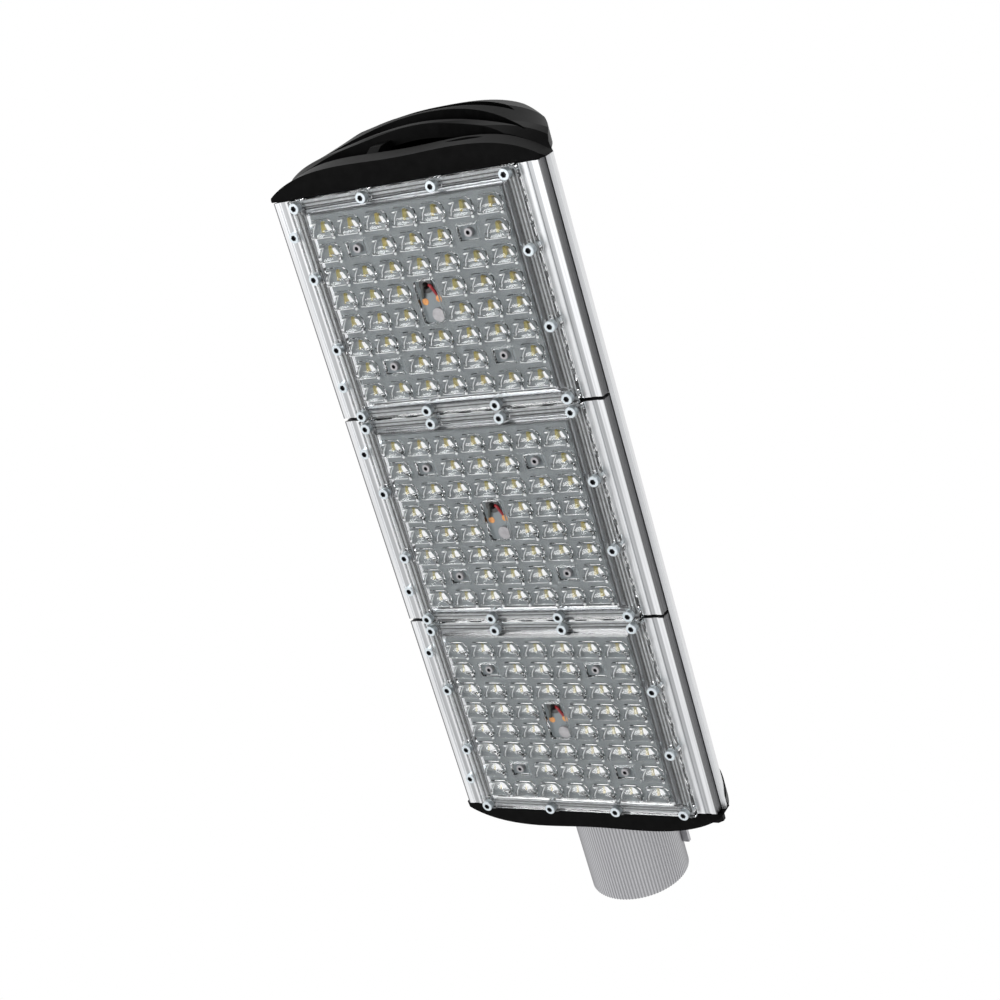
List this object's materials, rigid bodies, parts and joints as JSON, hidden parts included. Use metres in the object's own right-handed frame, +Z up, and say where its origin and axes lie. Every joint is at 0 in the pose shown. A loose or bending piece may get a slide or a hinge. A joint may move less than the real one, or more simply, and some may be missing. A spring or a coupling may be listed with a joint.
{
  "type": "led street light head",
  "caption": "Arched aluminium street light head with flat LED modules under clear lens plates, black louvred end caps and a fluted clamp socket for a lamp arm.",
  "frame": {"origin": "centre of the pole socket's mouth", "axes": "+X from the socket's mouth along the lamp to the nose of the front cap, +Z up and away from the light-emitting side, which faces -Z"},
  "size_m": [0.5432, 0.197, 0.0959],
  "materials": {
    "anodised_aluminium": "satin, drawn lengthwise",
    "cast_aluminium": "satin, clear anodised",
    "black_plastic": "satin moulded",
    "clear_lens": "clear moulded",
    "circuit_board": "solder mask",
    "led_phosphor": "matt",
    "grey_rubber": "matt",
    "zinc_steel": "zinc plated",
    "red_insulation": "satin",
    "black_insulation": "satin",
    "solder": "bright",
    "white_nylon": "satin moulded",
    "driver_case": "powder coated"
  },
  "bodies": {
    "root": {"board_screws": "zinc_steel", "cable_grommet": "grey_rubber", "centre_screws": "zinc_steel", "clamp_screws": "zinc_steel", "driver": "driver_case", "driver_screws": "zinc_steel", "driver_tray": "cast_aluminium", "end_plate_screws": "zinc_steel", "front_black_lead": "black_insulation", "front_board": "circuit_board", "front_cap": "black_plastic", "front_cap_screws": "zinc_steel", "front_connector": "white_nylon", "front_gasket": "grey_rubber", "front_heat_sink": "anodised_aluminium", "front_leds": "led_phosphor", "front_lens_plate": "clear_lens", "front_red_lead": "red_insulation", "front_wire_grommet": "grey_rubber", "housing": "anodised_aluminium", "input_lead": "black_insulation", "lens_screws": "zinc_steel", "middle_black_lead": "black_insulation", "middle_board": "circuit_board", "middle_connector": "white_nylon", "middle_gasket": "grey_rubber", "middle_heat_sink": "anodised_aluminium", "middle_leds": "led_phosphor", "middle_lens_plate": "clear_lens", "middle_red_lead": "red_insulation", "middle_wire_grommet": "grey_rubber", "module_screws": "zinc_steel", "output_lead": "black_insulation", "pole_socket": "cast_aluminium", "rear_black_lead": "black_insulation", "rear_board": "circuit_board", "rear_cap": "black_plastic", "rear_cap_screws": "zinc_steel", "rear_connector": "white_nylon", "rear_gasket": "grey_rubber", "rear_heat_sink": "anodised_aluminium", "rear_leds": "led_phosphor", "rear_lens_plate": "clear_lens", "rear_red_lead": "red_insulation", "rear_wire_grommet": "grey_rubber", "solder_joints": "solder", "terminal_block": "white_nylon", "tray_screws": "zinc_steel"}
  },
  "joints": []
}
